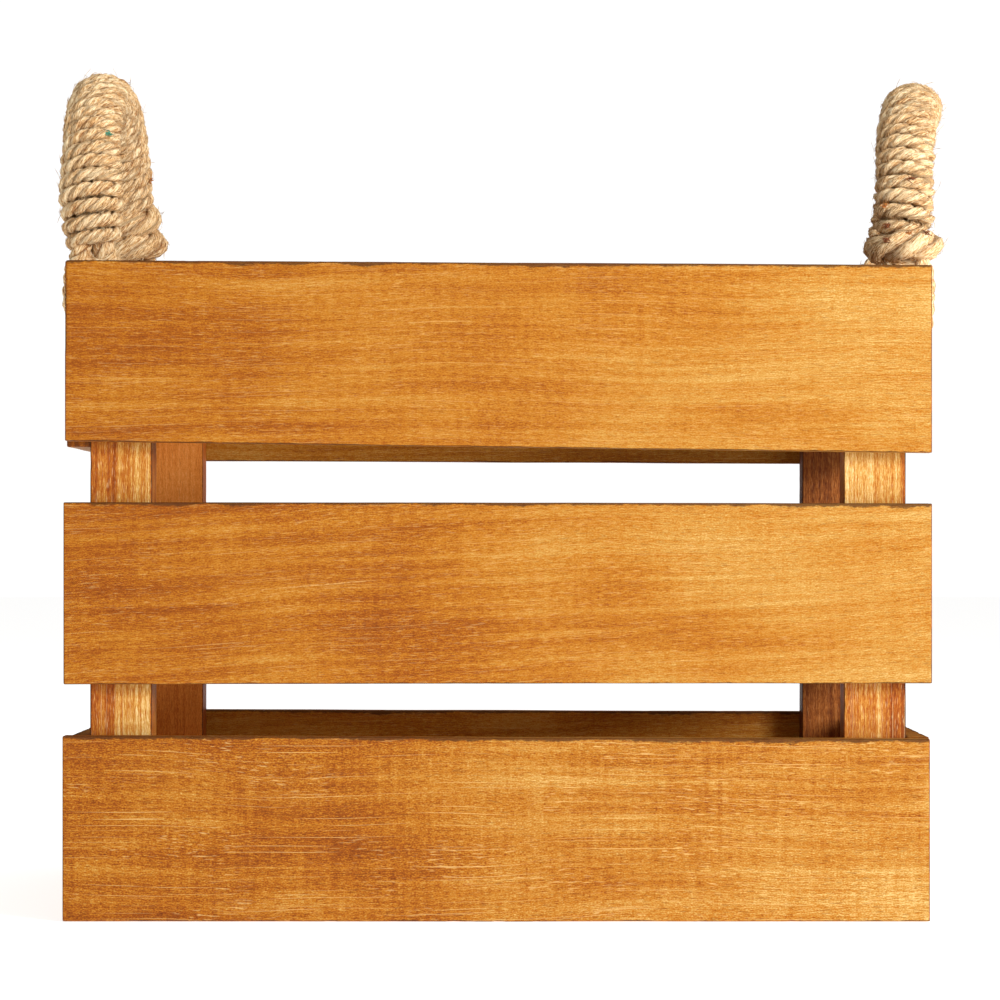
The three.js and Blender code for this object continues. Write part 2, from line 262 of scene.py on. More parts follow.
def stained_wood(name, look):
    """Wood whose grain runs along the mesh's own grain coordinates, which are in millimetres."""
    graph = Graph(name)
    grain = graph.attribute("grain").outputs["Vector"]
    along, across, through = graph.split(grain)
    sway = graph.noise(graph.scaled(grain, (0.006, 0.014, 0.014)), 1, 2, 0.5)
    bent = graph.math("ADD", across, graph.math("MULTIPLY", graph.centred(sway), look["sway"]))
    flow = graph.join(along, bent, through)

    layers = (
        ("fine", (0.34, 3.3, 3.3), 2, 0.6),
        ("bands", look["bands"], 3, 0.62),
        ("speck", (1.3, 2.6, 2.6), 1, 0.5),
        ("cloud", (0.014, 0.03, 0.03), 2, 0.5),
        ("chatter", (0.42, 0.03, 0.03), 1, 0.5),
    )
    # The tone attribute is stain on some boards and painted light and shade on others: the front
    # slats, the back slats, the posts and their narrow sides.
    tone = graph.math("ADD", graph.attribute("tone").outputs["Fac"], 0.5)
    noise = {}
    for i, (key, scale, detail, roughness) in enumerate(layers):
        noise[key] = graph.noise(graph.scaled(flow, scale, (9 * i, 4, 7)), 1, detail, roughness)
        share = graph.math("MULTIPLY", graph.centred(noise[key]), look["amount"][key])
        tone = graph.math("ADD", tone, share)
    colour = graph.ramp(tone, [(0.02, look["deep"]), (0.3, look["dark"]), (0.5, look["middle"]),
                               (0.72, look["light"]), (0.95, look["pale"])])

    dash = graph.noise(graph.scaled(flow, look["dash"], (40, 7, 3)), 1, 1, 0.5)
    cluster = graph.noise(graph.scaled(flow, (0.025, 0.06, 0.06), (3, 9, 6)), 1, 2, 0.6)
    cluster = graph.between(cluster, look["clusters"] - 0.1, look["clusters"] + 0.1)
    bright = graph.math("MULTIPLY", graph.between(dash, 0.60, 0.72), look["bright"])
    bright = graph.math("MULTIPLY", bright, cluster)
    colour = graph.mix(bright, colour, look["pale"])
    pores = graph.math("MULTIPLY", graph.between(dash, 0.40, 0.28), look["pores"])
    colour = graph.mix(pores, colour, look["deep"])

    scratch = graph.noise(graph.scaled(flow, (0.016, 2.6, 2.6), (2, 8, 1)), 1, 0, 0.5)
    scratch = graph.math("MULTIPLY", graph.between(scratch, 0.73, 0.78), look["bright"])
    colour = graph.mix(scratch, colour, look["pale"])

    if "line" in look:
        colour = scratched(graph, grain, colour, look)

    edge = graph.attribute("edge").outputs["Fac"]
    ragged = graph.noise(graph.scaled(grain, (0.45, 1.1, 1.1)), 1, 3, 0.7)
    patchy = graph.noise(graph.scaled(grain, (0.07, 0.1, 0.1), (4, 4, 9)), 1, 2, 0.5)
    spread = graph.math("ADD", graph.math("MULTIPLY", ragged, 0.7), graph.centred(patchy))
    worn = graph.between(graph.math("ADD", edge, spread), 0.78, 1.02)
    colour = graph.mix(graph.math("MULTIPLY", worn, 0.85), colour, look["edge"])

    cut = graph.attribute("endgrain").outputs["Fac"]
    sawn = graph.noise(graph.scaled(grain, (1.0, 1.6, 2.2)), 1, 3, 0.7)
    rings = graph.noise(graph.scaled(grain, (0.02, 0.10, 0.75)), 1, 2, 0.6, 1.2)
    sawn = graph.math("ADD", graph.math("MULTIPLY", sawn, 0.45), graph.math("MULTIPLY", rings, 0.55))
    end_colour = graph.ramp(sawn, [(0.36, look["edge"]), (0.47, look["deep"]),
                                   (0.56, look["dark"]), (0.7, look["middle"])])
    colour = graph.mix(graph.math("MULTIPLY", cut, 0.9), colour, end_colour)

    height = graph.math("ADD", noise["fine"], graph.math("MULTIPLY", dash, 0.9))
    height = graph.math("ADD", height, graph.math("MULTIPLY", noise["bands"], 0.5))
    rough = graph.between(noise["fine"], 0.3, 0.7, look["gloss"] - 0.06, look["gloss"] + 0.1)
    graph.finish(colour, rough, graph.bump(height, 0.3, 0.0003), Specular_IOR_Level=0.13)
    return graph.material


def scratched(graph, grain, colour, look):
    """One long fine scratch, given by where it starts and ends along, across and its rise."""
    start, end, level, rise = look["line"]
    along, across, _ = graph.split(grain)
    climb = graph.math("MULTIPLY", graph.math("SUBTRACT", along, start), rise)
    gap = graph.math("SUBTRACT", across, graph.math("ADD", climb, level))
    thin = graph.between(graph.math("ABSOLUTE", gap), 0.34, 0.12)
    within = graph.math("MULTIPLY", graph.between(along, start, start + 20),
                        graph.between(along, end, end - 12))
    broken = graph.noise(graph.scaled(grain, (0.5, 1.0, 1.0)), 1, 2, 0.6)
    share = graph.math("MULTIPLY", graph.math("MULTIPLY", thin, within),
                       graph.between(broken, 0.36, 0.56, 0.04, 0.4))
    return graph.mix(share, colour, look["pale"])


FIBRE_SLANT = 0.5


def jute(name, dark, middle, light):
    """Twisted jute: fibres follow the mesh's own strand coordinates, which are in millimetres."""
    graph = Graph(name)
    strand = graph.attribute("strand").outputs["Vector"]
    along, around, mark = graph.split(strand)
    slanted = graph.math("ADD", around, graph.math("MULTIPLY", along, FIBRE_SLANT))
    flow = graph.join(along, slanted, mark)
    tone = 0.5
    heights = []
    for i, (scale, detail, amount) in enumerate((
            ((0.6, 3.4, 1.0), 3, 3.0), ((0.2, 1.3, 1.0), 2, 1.5), ((0.03, 0.12, 1.0), 2, 0.9))):
        layer = graph.noise(graph.scaled(flow, scale, (5 * i, 3, 0)), 1, detail, 0.62)
        share = graph.math("MULTIPLY", graph.centred(layer), amount)
        tone = graph.math("ADD", share, tone)
        heights.append(layer)
    colour = graph.ramp(tone, [(0.0, dark), (0.42, middle), (0.8, light)])
    patch = graph.noise(graph.scaled(flow, (0.35, 1.1, 1.0), (8, 2, 5)), 1, 3, 0.7)
    patch = graph.math("MULTIPLY", graph.between(patch, 0.55, 0.7), 0.45)
    colour = graph.mix(patch, colour, JUTE_RED)
    # Strand sides that face in between the strands are darkened as painted shade.
    groove_shade = graph.attribute("groove_shade").outputs["Fac"]
    colour = graph.mix(graph.math("MULTIPLY", groove_shade, 0.7), colour, dark)
    height = graph.math("ADD", heights[0], heights[1])
    graph.finish(colour, 0.9, graph.bump(height, 0.9, 0.0006), Specular_IOR_Level=0.2)
    return graph.material


def galvanised_wire():
    graph = Graph("galvanised_wire")
    place = graph.node("ShaderNodeTexCoord").outputs["Object"]
    spots = graph.noise(place, 900, 3, 0.6)
    colour = graph.ramp(spots, [(0.3, (0.30, 0.28, 0.26)), (0.7, (0.62, 0.61, 0.6))])
    rough = graph.between(spots, 0.3, 0.7, 0.3, 0.5)
    graph.finish(colour, rough, graph.bump(spots, 0.2, 0.0001), Metallic=1.0)
    return graph.material


# ---- Smooth repeatable randomness ----------------------------------------------------------

def smooth_noise(x, seed, octaves=3):
    """Sum of smooth random curves over x, between about -1 and 1."""
    total = np.zeros_like(x, dtype=float)
    size = 0.0
    for octave in range(octaves):
        values = np.random.RandomState(seed + 101 * octave).uniform(-1, 1, 1024)
        scaled = np.asarray(x, float) * 2 ** octave + 13.7 * octave
        whole = np.floor(scaled).astype(int)
        part = scaled - whole
        part = part * part * (3 - 2 * part)
        low, high = values[whole % 1024], values[(whole + 1) % 1024]
        weight = 0.5 ** octave
        total += weight * (low + (high - low) * part)
        size += weight
    return total / size


# ---- Boards --------------------------------------------------------------------------------

def new_piece(name, vertices, faces, material, attributes):
    mesh = bpy.data.meshes.new(name)
    mesh.vertices.add(len(vertices))
    mesh.vertices.foreach_set("co", np.asarray(vertices, np.float32).ravel())
    faces = np.asarray(faces, np.int32)
    mesh.loops.add(faces.size)
    mesh.loops.foreach_set("vertex_index", faces.ravel())
    mesh.polygons.add(len(faces))
    mesh.polygons.foreach_set("loop_start", np.arange(0, faces.size, faces.shape[1], dtype=np.int32))
    mesh.update(calc_edges=True)
    mesh.validate()
    for key, values in attributes.items():
        values = np.asarray(values, np.float32)
        kind = "FLOAT_VECTOR" if values.ndim == 2 else "FLOAT"
        made = mesh.attributes.new(key, kind, "POINT")
        made.data.foreach_set("vector" if values.ndim == 2 else "value", values.ravel())
    mesh.polygons.foreach_set("use_smooth", np.full(len(faces), True))
    mesh.materials.append(material)
    piece = bpy.data.objects.new(name, mesh)
    bpy.context.scene.collection.objects.link(piece)
    return piece


EDGE_LINES = (0.0, 0.22, 0.5, 0.9, 1.5, 2.4)  # where the grid is fine, from a board's edge
SKIN = 0.3  # points closer than this to a face of a board count as on it
DENT_DEPTH = 0.85
DENT_RIM = 0.35
HOLE_RADIUS = 4.7
HOLE_BLOCK = 3.4  # half width of the square of grid cells that a hole takes out
HOLE_CELLS = 6
HOLE_REACH = 9.0  # from how far around a hole the grid bends towards its circle
HOLE_EASE = 0.7  # how deep a hole's rim is rounded


def board_lines(length, step):
    """Grid lines across a board side: close together beside the edges, step apart between them."""
    inner = EDGE_LINES[-1]
    count = max(1, round((length - 2 * inner) / step))
    middle = np.linspace(inner, length - inner, count + 1)[1:-1]
    near = np.array(EDGE_LINES)
    return np.concatenate([near, middle, length - near[::-1]])


def with_hole_lines(lines, centre):
    """The lines with those near a hole replaced by ones that fit its grid."""
    inner = centre + np.linspace(-HOLE_BLOCK, HOLE_BLOCK, HOLE_CELLS + 1)
    outer = np.array([4.6, 5.8, 7.2, HOLE_REACH])
    local = np.concatenate([centre - outer[::-1], inner, centre + outer])
    far = np.abs(lines - centre) > HOLE_REACH + 0.4
    return np.sort(np.concatenate([lines[far], local]))


class Board:
    """A board's grid of surface points in its own (along, across, through) millimetres."""

    def __init__(self, size, seed, step, holes, dents, burr):
        length, width, thickness = size
        self.size = np.array(size)
        self.burr = burr
        self.seed = seed
        self.holes = holes
        self.dents = dents
        a = board_lines(length, step)
        b = board_lines(width, 3.4)
        for centre in holes:
            a = with_hole_lines(a, centre[0])
        if holes:
            b = with_hole_lines(b, holes[0][1])
        c = board_lines(thickness, 2.2)
        self.lines = self.with_dent_lines([a, b, c])
        self.number_points()
        self.make_faces()
        self.place_points()

    def with_dent_lines(self, lines):
        """Adds grid lines at the borders of each dent."""
        for dent in self.dents:
            for axis, (centre, half) in dent["spans"].items():
                rims = [half, half + DENT_RIM]
                extra = [centre + sign * rim for sign in (-1, 1) for rim in rims]
                kept = [v for v in lines[axis] if min(abs(v - e) for e in extra) > 0.16]
                lines[axis] = np.sort(np.array(kept + extra))
        return lines

    def number_points(self):
        a, b, c = self.lines
        shape = (len(a), len(b), len(c))
        on = np.zeros(shape, bool)
        on[[0, -1]] = True
        on[:, [0, -1]] = True
        on[:, :, [0, -1]] = True
        self.blocks = []
        for centre in self.holes:
            i0, i1 = (int(np.argmin(np.abs(a - centre[0] - s * HOLE_BLOCK))) for s in (-1, 1))
            j0, j1 = (int(np.argmin(np.abs(b - centre[1] - s * HOLE_BLOCK))) for s in (-1, 1))
            on[i0 + 1:i1, j0 + 1:j1] = False
            on[[i0, i1], j0:j1 + 1] = True
            on[i0:i1 + 1, [j0, j1]] = True
            self.blocks.append((i0, i1, j0, j1))
        self.number = np.full(shape, -1)
        self.number[on] = np.arange(on.sum())
        self.on = on

    def make_faces(self):
        n = self.number
        faces = []

        def sheet(grid, flip, keep=None):
            quads = np.stack([grid[:-1, :-1], grid[1:, :-1], grid[1:, 1:], grid[:-1, 1:]], -1)
            quads = quads[keep] if keep is not None else quads.reshape(-1, 4)
            faces.append(quads[:, ::-1] if flip else quads)

        keep = np.ones((n.shape[0] - 1, n.shape[1] - 1), bool)
        for i0, i1, j0, j1 in self.blocks:
            keep[i0:i1, j0:j1] = False
        sheet(n[:, :, 0], True, keep)
        sheet(n[:, :, -1], False, keep)
        sheet(n[:, 0, :], False)
        sheet(n[:, -1, :], True)
        sheet(n[0, :, :], True)
        sheet(n[-1, :, :], False)
        for i0, i1, j0, j1 in self.blocks:
            sheet(n[i0:i1 + 1, j0, :], True)
            sheet(n[i0:i1 + 1, j1, :], False)
            sheet(n[i0, j0:j1 + 1, :], False)
            sheet(n[i1, j0:j1 + 1, :], True)
        self.faces = np.concatenate(faces)

    def place_points(self):
        a, b, c = np.meshgrid(*self.lines, indexing="ij")
        points = np.stack([a[self.on], b[self.on], c[self.on]], -1)
        points = self.open_holes(points)
        self.wear = self.edge_wear(points)
        self.at_end = np.minimum(points[:, 0], self.size[0] - points[:, 0]) < SKIN
        self.points = self.ease_edges(self.press_dents(points))

    def press_dents(self, points):
        """Sinks the surface a little where a staple's crown bites into it."""
        for dent in self.dents:
            face = dent["axis"]
            level = self.size[face] * dent["side"]
            share = (np.abs(points[:, face] - level) < 1e-6).astype(float)
            for axis, (centre, half) in dent["spans"].items():
                beyond = np.abs(points[:, axis] - centre) - half
                share *= 1 - (beyond / DENT_RIM).clip(0, 1)
            points[:, face] += share * DENT_DEPTH * (1 - 2 * dent["side"])
        return points

    def open_holes(self, points):
        """Moves the square rings of points around each hole's block out to a circle."""
        for centre in self.holes:
            offset = points[:, :2] - np.array(centre)
            square = np.abs(offset).max(1)
            inside = (square < HOLE_REACH - 1e-6) & (square > HOLE_BLOCK - 1e-6)
            radius = np.full(len(points), HOLE_RADIUS)
            skin = np.minimum(points[:, 2], self.size[2] - points[:, 2])
            radius += np.clip(HOLE_EASE - skin, 0, None) * 0.8
            length = np.linalg.norm(offset, axis=1).clip(1e-6)
            circle = offset / length[:, None] * radius[:, None]
            share = ((square - HOLE_BLOCK) / (HOLE_REACH - HOLE_BLOCK)).clip(0, 1)[:, None]
            moved = circle + (offset - circle) * share
            points[inside, :2] = (np.array(centre) + moved)[inside]
        return points

    def edge_wear(self, points):
        """How close each surface point is to a worn edge: the upper long edges wear the most."""
        gaps = np.minimum(points, self.size - points)
        sides = np.sort(gaps[:, 1:], axis=1)
        reach = 0.5 + self.burr * points[:, 1] / self.size[1]
        wear = np.exp(-sides[:, 1] / reach)
        wear = np.maximum(wear, 0.75 * np.exp(-(gaps[:, 0] + sides[:, 0]) / 0.5))
        for centre in self.holes:
            from_hole = np.linalg.norm(points[:, :2] - np.array(centre), axis=1) - HOLE_RADIUS
            wear = np.maximum(wear, 0.9 * np.exp(-from_hole.clip(0) / 0.8))
        return wear

    def ease_edges(self, points):
        """Rounds every edge by a radius that wanders and chips along it."""
        half = self.size / 2
        local = points - half
        sides = (local[:, 1] > 0) * 2 + (local[:, 2] > 0)
        radius = np.zeros(len(points))
        for side in range(4):
            chosen = sides == side
            x = points[chosen, 0]
            seed = self.seed * 17 + side
            wander = 0.42 + 0.12 * smooth_noise(x / 23, seed)
            chips = np.clip(smooth_noise(x / 5.5, seed + 5, 2) - 0.42, 0, None) * 2.6
            nicks = np.clip(smooth_noise(x / 2.1, seed + 9, 1) - 0.62, 0, None) * 1.1
            radius[chosen] = np.clip(wander + chips + nicks, 0.2, 1.5)
        inner = np.clip(local, -(half - radius[:, None]), half - radius[:, None])
        out = local - inner
        length = np.linalg.norm(out, axis=1)
        moving = (length > radius + 1e-9) & (length > 1e-9)
        local[moving] = inner[moving] + out[moving] / length[moving, None] * radius[moving, None]
        wave = 0.07 * smooth_noise(local[:, 0] / 31 + 0.02 * local[:, 1], self.seed + 3, 2)
        local[:, 2] += wave * (np.abs(local[:, 2]) > half[2] - 1.6)
        local[:, 1] += 0.12 * smooth_noise(local[:, 0] / 47, self.seed + 4, 2)
        return local + half


GRAIN_SHIFT = 911.0  # between two boards
# The row axes of a board's length, width and thickness.
ALONG_X = (0, 2, 1)
ALONG_Y = (1, 2, 0)
UPRIGHT = (2, 0, 1)
FLAT = (0, 1, 2)
FLAT_ACROSS = (1, 0, 2)


def end_heights(node, axis, span_axis):
    """Low and high sides of a sawn board at both of its ends, from its CAD corners."""
    low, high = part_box(node)
    points = np.array([v.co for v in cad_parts[node].data.vertices])
    result = []
    for end in (low[axis], high[axis]):
        near = points[np.abs(points[:, axis] - end) < 0.2 * MM]
        result.append((near[:, span_axis].min(), near[:, span_axis].max()))
    return result


def dents_from(staples, low, axes):
    """Where the crowns of these staples meet the board, in its own millimetres."""
    dents = []
    for staple in staples:
        ends = [[(corner[axis] - low[axis]) / MM for axis in axes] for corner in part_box(staple)]
        ends = np.array(ends)
        reach = ends[1] - ends[0]
        face = int(np.argmax(reach))
        side = 0 if abs(ends[0][face]) < 1 else 1
        spans = {axis: (ends[:, axis].mean(), reach[axis] / 2 + 0.15)
                 for axis in range(3) if axis != face}
        dents.append({"axis": face, "side": side, "spans": spans})
    return dents


def add_board(node, axes, material, tone=(0, 0), slope=0.0, seed=0, step=2.0, holes=(),
              staples=(), burr=0.1, across=(0, 0), side_shade=0.0):
    """Rebuilds a CAD board. axes are the row axes of its length, width and thickness.

    tone and across give how much paler or darker the board is made at even steps along and across it,
    stain on some boards and painted light and shade on others; its narrow sides are darkened by a
    further given amount as painted shade, and slope gives how the grain climbs along it. burr is how
    much further, in millimetres, the upper long edge is worn than the lower one.
    """
    low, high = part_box(node)
    size = [(high[axis] - low[axis]) / MM for axis in axes]
    dents = dents_from(staples, low, axes)
    board = Board(size, seed, step, holes, dents, burr)
    share = board.points / board.size
    ends = end_heights(node, axes[0], axes[1])
    place = np.zeros((len(board.points), 3))
    place[:, axes[0]] = low[axes[0]] + share[:, 0] * size[0] * MM
    bottom = ends[0][0] + (ends[1][0] - ends[0][0]) * share[:, 0]
    top = ends[0][1] + (ends[1][1] - ends[0][1]) * share[:, 0]
    place[:, axes[1]] = bottom + (top - bottom) * share[:, 1]
    place[:, axes[2]] = low[axes[2]] + share[:, 2] * size[2] * MM
    at_side = np.minimum(board.points[:, 1], board.size[1] - board.points[:, 1]) < SKIN
    flip = np.linalg.det(np.eye(3)[list(axes)]) < 0
    faces = board.faces[:, ::-1] if flip else board.faces
    grain = board.points - board.size / 2
    grain[:, 1] -= slope * grain[:, 0]
    grain[:, 0] += seed * GRAIN_SHIFT
    attributes = {
        "grain": grain,
        "tone": (np.interp(share[:, 0], np.linspace(0, 1, len(tone)), tone)
                 + np.interp(share[:, 1], np.linspace(0, 1, len(across)), across)
                 + side_shade * at_side),
        "edge": board.wear,
        "endgrain": board.at_end.astype(float),
    }
    piece = new_piece(node + "_sawn", place, faces, material, attributes)
    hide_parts(node)
    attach(piece, "crate")


ROWS = ("bottom", "middle", "top")
SLAT_BURR = 1.2
# How much darker the posts' narrow sides are made, as painted shade.
POST_SIDE_SHADE = -0.3

# How much paler or darker each board is made at even steps along it. On the front slats the rise from
# left to right is painted light, paler where the key light from the right falls stronger.
FRONT_PAINTED_LIGHT = {
    "bottom": (-0.15, -0.08, 0.02, 0.10), "middle": (-0.15, -0.06, 0.03, 0.13),
    "top": (-0.15, -0.04, 0.03, 0.11),
}
# On the posts this is partly stain and partly painted light and shade: the back right post is painted
# darker as shade and the back left one paler towards its top as painted light.
POST_TONES = {
    "post_front_left": (0.05, 0.03, -0.01, -0.01), "post_front_right": (-0.12, -0.06, 0.1, 0.1),
    "post_back_left": (-0.07, -0.03, 0.17, 0.17), "post_back_right": (-0.24, -0.2),
}
# The same across each post's width, from the left of the crate to the right.
POST_TONES_ACROSS = {
    "post_front_left": (-0.14, -0.1, -0.2, 0.06, 0.1, 0.14, 0.12),
    "post_front_right": (0.02, 0.08, 0.1, 0.08, 0.06, -0.12, -0.1),
    "post_back_left": (-0.06, 0.02, 0.02, 0), "post_back_right": (-0.02, 0.02, 0.02, -0.04),
}
FRONT_SLOPES = {"bottom": 0.0, "middle": 0.05, "top": 0.01}


def add_boards():
    slat = stained_wood("stained_slat", SLAT_LOOK)
    fronts = {
        "bottom": stained_wood("stained_coarse_slat", COARSE_LOOK),
        "middle": stained_wood("stained_scratched_slat", SCRATCHED_LOOK),
        "top": slat,
    }
    post = stained_wood("stained_post", POST_LOOK)
    posts = {
        "post_front_left": post, "post_front_right": post,
        "post_back_left": stained_wood("stained_red_post", RED_POST_LOOK),
        # The back right post gets a darker copy of the post's look, as painted shade.
        "post_back_right": stained_wood("painted_shade_post", SHADED_POST_LOOK),
    }
    floor = stained_wood("stained_floor", FLOOR_LOOK)
    for i, row in enumerate(ROWS):
        # The front slats' tones are painted light, paler towards the right.
        add_board(f"front_slat_{row}", ALONG_X, fronts[row], FRONT_PAINTED_LIGHT[row],
                  FRONT_SLOPES[row], 3 + i, burr=SLAT_BURR)
        # The back slats darken towards the right as painted shade, where the crate's right back
        # corner lies in shade.
        add_board(f"back_slat_{row}", ALONG_X, slat, (-0.01, -0.07), 0.01, 6 + i, burr=SLAT_BURR)
    for i, end in enumerate(("left", "right")):
        for j, row in enumerate(ROWS):
            node = f"{end}_slat_{row}"
            holes = rope_holes(node, HANDLES[end]) if row == "top" else ()
            add_board(node, ALONG_Y, slat, seed=20 + 3 * i + j, holes=holes, burr=SLAT_BURR)
        for j, corner in enumerate(("front", "back")):
            node = f"post_{corner}_{end}"
            staples = [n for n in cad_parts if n.startswith(f"staple_{corner}_{end}_")]
            add_board(node, UPRIGHT, posts[node], POST_TONES[node], seed=30 + 2 * i + j,
                      staples=staples, across=POST_TONES_ACROSS[node], side_shade=POST_SIDE_SHADE)
        add_board(f"cleat_{end}", FLAT_ACROSS, post, seed=36 + i)
    for i, place in enumerate(("front", "middle", "back")):
        staples = [f"staple_floor_{place}_{end}" for end in ("left", "right")]
        add_board(f"floor_board_{place}", FLAT, floor, seed=40 + i, step=3.0, staples=staples)


def rope_holes(node, handle):
    low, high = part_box(node)
    across = (high.z - low.z) / MM - handle["hole_drop"]
    return [((y * MM - low.y) / MM, across) for y in (-HALF_SPAN, HALF_SPAN)]


# ---- Rope ----------------------------------------------------------------------------------

class Line:
    """A centre line through space in millimetres, with two directions carried along it."""

    def __init__(self, points, across=None):
        self.points = np.asarray(points, float)
        tangents = np.gradient(self.points, axis=0)
        self.ahead = tangents / np.linalg.norm(tangents, axis=1)[:, None]
        steps = np.linalg.norm(np.diff(self.points, axis=0), axis=1)
        self.along = np.concatenate([[0], np.cumsum(steps)])
        self.length = self.along[-1]
        self.side = self.carried() if across is None else self.squared(across)
        self.up = np.cross(self.ahead, self.side)

    def carried(self):
        guess = np.array([0.0, 0.0, 1.0]) if abs(self.ahead[0][2]) < 0.8 else np.array([0, 1.0, 0])
        sides = []
        for ahead in self.ahead:
            guess = guess - ahead * guess.dot(ahead)
            guess = guess / np.linalg.norm(guess)
            sides.append(guess)
        return np.array(sides)

    def squared(self, across):
        across = np.broadcast_to(np.array(across, float), self.points.shape)
        lean = (across * self.ahead).sum(1)[:, None]
        side = across - lean * self.ahead
        return side / np.linalg.norm(side, axis=1)[:, None]

    def at(self, along):
        """Places and directions at the given distances along the line."""
        result = []
        for values in (self.points, self.side, self.up, self.ahead):
            result.append(np.stack([np.interp(along, self.along, v) for v in values.T], -1))
        return result


def spline(knots, step):
    """A smooth line through the knots, sampled about every step millimetres."""
    knots = np.asarray(knots, float)
    padded = np.vstack([2 * knots[0] - knots[1], knots, 2 * knots[-1] - knots[-2]])
    parts = []
    for i in range(1, len(padded) - 2):
        p0, p1, p2, p3 = padded[i - 1:i + 3]
        count = max(3, int(np.linalg.norm(p2 - p1) / step) + 1)
        t = np.linspace(0, 1, count, endpoint=False)[:, None]
        parts.append(0.5 * (2 * p1 + (p2 - p0) * t + (2 * p0 - 5 * p1 + 4 * p2 - p3) * t ** 2
                            + (3 * p1 - p0 - 3 * p2 + p3) * t ** 3))
    return np.vstack([*parts, knots[-1:]])


class RopeMesh:
    """Collects swept strands, with the coordinates that the jute material reads."""

    def __init__(self):
        self.vertices, self.faces, self.strand, self.groove_shade = [], [], [], []
        self.heading = []
        self.count = 0

    def sweep(self, line, radius, sides, mark, deep):
        """A tube along the line. deep gives how far each vertex lies in the hollow between strands,
        which the jute material darkens as painted shade.
        """
        n = len(line.points)
        angle = np.linspace(0, 2 * math.pi, sides, endpoint=False)
        ring = (np.cos(angle)[None, :, None] * line.side[:, None]
                + np.sin(angle)[None, :, None] * line.up[:, None])
        radius = np.broadcast_to(radius, (n, sides))
        taper = np.ones(n)
        taper[[0, -1]] = 0.02
        place = line.points[:, None] + ring * (radius * taper[:, None])[..., None]
        strand = np.zeros((n, sides, 3))
        strand[..., 0] = line.along[:, None]
        strand[..., 1] = angle * radius.mean()
        strand[..., 2] = mark * 17.3
        i = np.arange(n - 1)[:, None] * sides
        j = np.arange(sides)[None]
        k = (j + 1) % sides
        quads = np.stack([i + j, i + k, i + sides + k, i + sides + j], -1).reshape(-1, 4)
        self.faces.append(quads + self.count)
        self.vertices.append(place.reshape(-1, 3))
        self.strand.append(strand.reshape(-1, 3))
        self.groove_shade.append(np.zeros(n * sides) if deep is None else deep(ring).reshape(-1))
        self.heading.append(np.repeat(line.ahead, sides, axis=0))
        self.count += n * sides

    def lay(self, line, diameter, lay, sides=9, seed=0, strands=3, phase=0.0):
        """Three strands twisted around the line; lay is the length of one full turn."""
        strand_radius = diameter * 0.262
        offset = diameter / 2 - strand_radius
        for strand in range(strands):
            start = phase + 2 * math.pi * strand / strands
            turn = start + 2 * math.pi * line.along / lay
            turn = turn + 0.4 * smooth_noise(line.along / 23, seed + strand)
            out = np.cos(turn)[:, None] * line.side + np.sin(turn)[:, None] * line.up
            wander = 1 + 0.22 * smooth_noise(line.along / 5, seed + 40 + strand)[:, None]
            centre = Line(line.points + out * offset * wander)
            lumps = 1 + 0.15 * smooth_noise(line.along / 2.4, seed + 70 + strand)
            radius = strand_radius * lumps[:, None] * np.ones(sides)
            tufts = np.random.RandomState(seed + strand).uniform(-1, 1, radius.shape)
            radius = radius * (1 + 0.085 * tufts)

            # How far each point faces in towards the rope's centre; the jute material darkens it by
            # this as painted shade.
            def deep(ring):
                facing = (ring * out[:, None]).sum(-1)
                return ((0.35 - facing) / 0.8).clip(0, 1)

            self.sweep(centre, radius, sides, seed + strand, deep)

    def build(self, name, material):
        vertices = np.concatenate(self.vertices) * MM
        attributes = {
            "strand": np.concatenate(self.strand),
            "groove_shade": np.concatenate(self.groove_shade),
        }
        return new_piece(name, vertices, np.concatenate(self.faces), material, attributes)


# The handles' route, as in the CAD, in millimetres.
HALF_SPAN = 62.0
RIM = 258.0
SLAT_MIDDLE = 165.4
WRAP_RISE = 5.2
HANDLES = {
    "left": {
        "side": -1,
        "hole_drop": 19.0,
        "height": 79.4,
        "lean": [0.2, 1.4, 2.7, 3.1, 2.4, 1.0, 0.2, -0.3, 0],
        "wrap": (5.4, 31.0),
    },
    "right": {
        "side": 1,
        "hole_drop": 24.0,
        "height": 75.4,
        "lean": [0.2, 0.9, 2.4, 6.6, 10.8, 11.6, 11.4, 10.2, 3.4],
        "wrap": (11.0, 14.0),
    },
}
# Diameters of the ropes, and the lengths in which their strands make a full turn.
WRAP_ROPE, WRAP_LAY = 6.0, -15.0
TURN_ROPE, TURN_LAY = 12.0, -34.0
REAR_TURN_ROPE, REAR_TURN_LAY = 7.2, -28.0
EYE_ROPE, EYE_LAY = 7.4, 15.0
CORE_ROPE, CORE_LAY = 7.0, 24.0
WRAP_PITCH = 5.9
# How far from the arch's centre line a rope is wound, across the handle and along its arch.
WRAP_OFFSET = (9.3, 7.6)
TURN_OFFSET = (10.3, 8.5)
REAR_TURN_OFFSET = (9.2, 7.4)
# How wide the left handle's heavy turns are at some shares of their length.
LEFT_TURN_WIDTHS = ((0, 0.9), (0.3, 0.88), (0.66, 1.16), (1, 1))


def arch_line(handle):
    """The handle's centre line: up from the front foot, over and down to the rear foot."""
    spring = handle["height"] - HALF_SPAN
    straight = spring - WRAP_RISE
    total = 2 * straight + math.pi * HALF_SPAN
    along = np.linspace(0, total, 600)
    angle = ((along - straight) / HALF_SPAN).clip(0, math.pi)
    y = -HALF_SPAN * np.cos(angle)
    z = spring + HALF_SPAN * np.sin(angle)
    z = np.where(along < straight, WRAP_RISE + along, z)
    z = np.where(along > total - straight, WRAP_RISE + total - along, z)
    knots = np.array([[i, out, 0] for i, out in enumerate(handle["lean"])], float)
    lean = spline(knots, 0.05)
    out = np.interp(along / total * (len(knots) - 1), lean[:, 0], lean[:, 1])
    x = handle["side"] * (SLAT_MIDDLE + out)
    return Line(np.stack([x, y, RIM + z], -1), across=(1, 0, 0))


